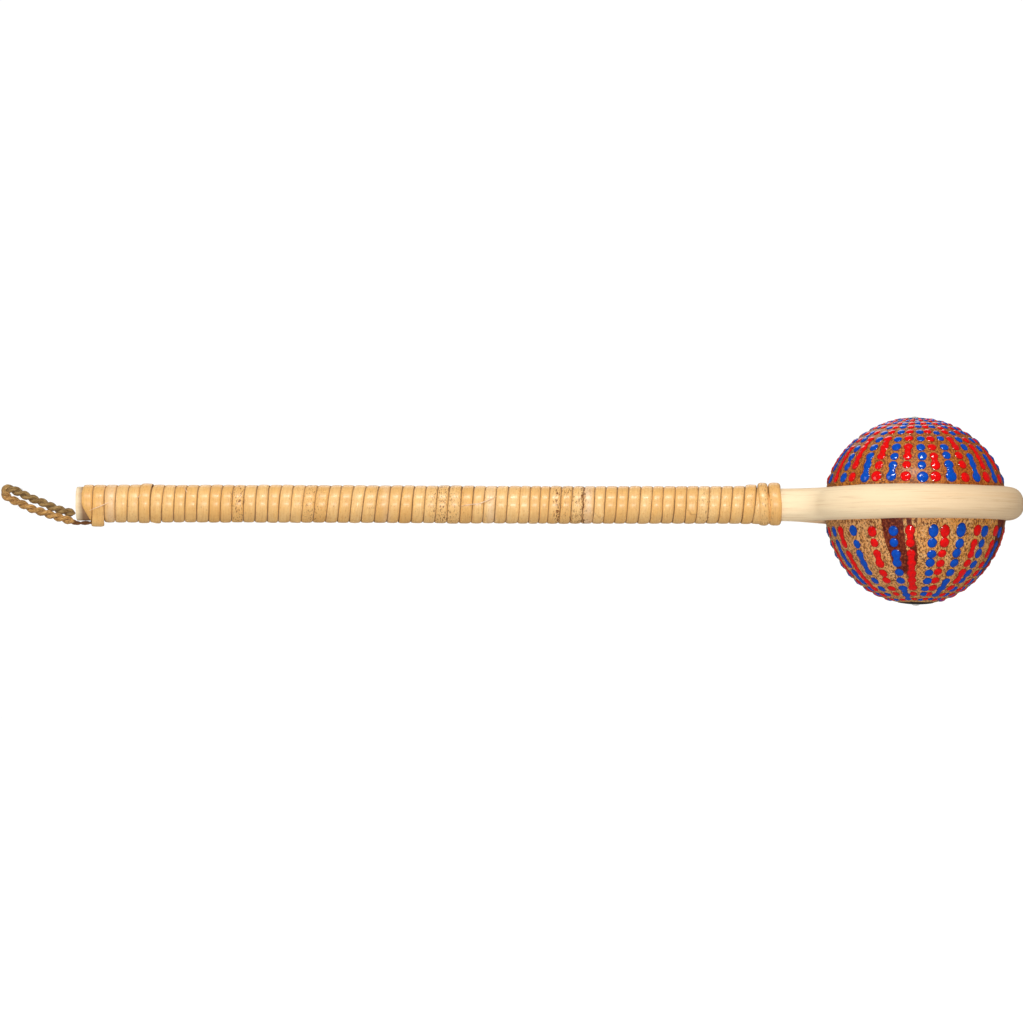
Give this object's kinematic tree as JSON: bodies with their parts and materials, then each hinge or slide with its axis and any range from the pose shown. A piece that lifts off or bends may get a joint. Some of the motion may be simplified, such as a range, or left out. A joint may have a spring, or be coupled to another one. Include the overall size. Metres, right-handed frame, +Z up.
{
  "type": "maracas",
  "caption": "Long-handled rattle: a dot-painted nut-shell head with loose seeds, clasped in a bent split-rattan loop whose peel-bound tails form the handle, with a cord loop at the butt.",
  "frame": {"origin": "centre of the flat butt end of the handle, on the handle's axis", "axes": "+X runs along the handle to the head, +Z runs up along the head's pole axis, and the bent loop lies in the XY plane"},
  "size_m": [0.5628, 0.1186, 0.1022],
  "materials": {
    "rattan_pole": "satin, pale, fine straight grain",
    "upper_nut_shell": "sanded and varnished, orange brown with fine fibre flecks",
    "lower_nut_shell": "sanded and varnished, sandy tan with dark stains",
    "peg_wood": "raw end grain",
    "rattan_peel": "glossy natural peel, domed strip",
    "fibre_cord": "twisted palm fibre, matt",
    "seed": "smooth dry seed",
    "blue_paint": "raised glossy paint dots",
    "red_paint": "raised glossy paint dots",
    "white_paint": "raised glossy paint dot",
    "black_paint": "thin brushed disc at each pole"
  },
  "bodies": {
    "rattle": {"hoop": "rattan_pole", "upper_shell": "upper_nut_shell", "lower_shell": "lower_nut_shell", "tip_peg": "peg_wood", "wrap_strip_1": "rattan_peel", "wrap_strip_2": "rattan_peel", "wrap_strip_3": "rattan_peel", "wrap_strip_4": "rattan_peel", "wrap_strip_5": "rattan_peel", "wrap_strip_6": "rattan_peel", "neck_binding": "rattan_peel", "butt_binding": "rattan_peel", "cord_tail": "fibre_cord"},
    "cord_root": {"cord_neck": "fibre_cord"},
    "cord_loop": {"cord_ply_a": "fibre_cord", "cord_ply_b": "fibre_cord"},
    "seeds_near_row": {"seeds_near": "seed"},
    "seeds_near_middle_row": {"seeds_near_middle": "seed"},
    "seeds_middle_row": {"seeds_middle": "seed"},
    "seeds_far_middle_row": {"seeds_far_middle": "seed"},
    "seeds_far_row": {"seeds_far": "seed"}
  },
  "joints": [
    {"name": "cord_swing", "type": "hinge", "parent": "rattle", "child": "cord_root", "pos_m": [-0.0018, -0.002, -0.0109], "axis": [0, 1, 0], "range_deg": [-120, 10]},
    {"name": "cord_fold", "type": "hinge", "parent": "cord_root", "child": "cord_loop", "pos_m": [-0.0056, -0.001, -0.0081], "axis": [0.3746, 0, 0.9272], "range_deg": [-50, 50]},
    {"name": "seeds_near_roll", "type": "hinge", "parent": "rattle", "child": "seeds_near_row", "pos_m": [0.4606, -0.016, -0.0042], "axis": [0, 1, 0], "continuous": true},
    {"name": "seeds_near_middle_roll", "type": "hinge", "parent": "rattle", "child": "seeds_near_middle_row", "pos_m": [0.4606, -0.008, -0.0042], "axis": [0, 1, 0], "continuous": true},
    {"name": "seeds_middle_roll", "type": "hinge", "parent": "rattle", "child": "seeds_middle_row", "pos_m": [0.4606, 0, -0.0042], "axis": [0, 1, 0], "continuous": true},
    {"name": "seeds_far_middle_roll", "type": "hinge", "parent": "rattle", "child": "seeds_far_middle_row", "pos_m": [0.4606, 0.008, -0.0042], "axis": [0, 1, 0], "continuous": true},
    {"name": "seeds_far_roll", "type": "hinge", "parent": "rattle", "child": "seeds_far_row", "pos_m": [0.4606, 0.016, -0.0042], "axis": [0, 1, 0], "continuous": true}
  ]
}
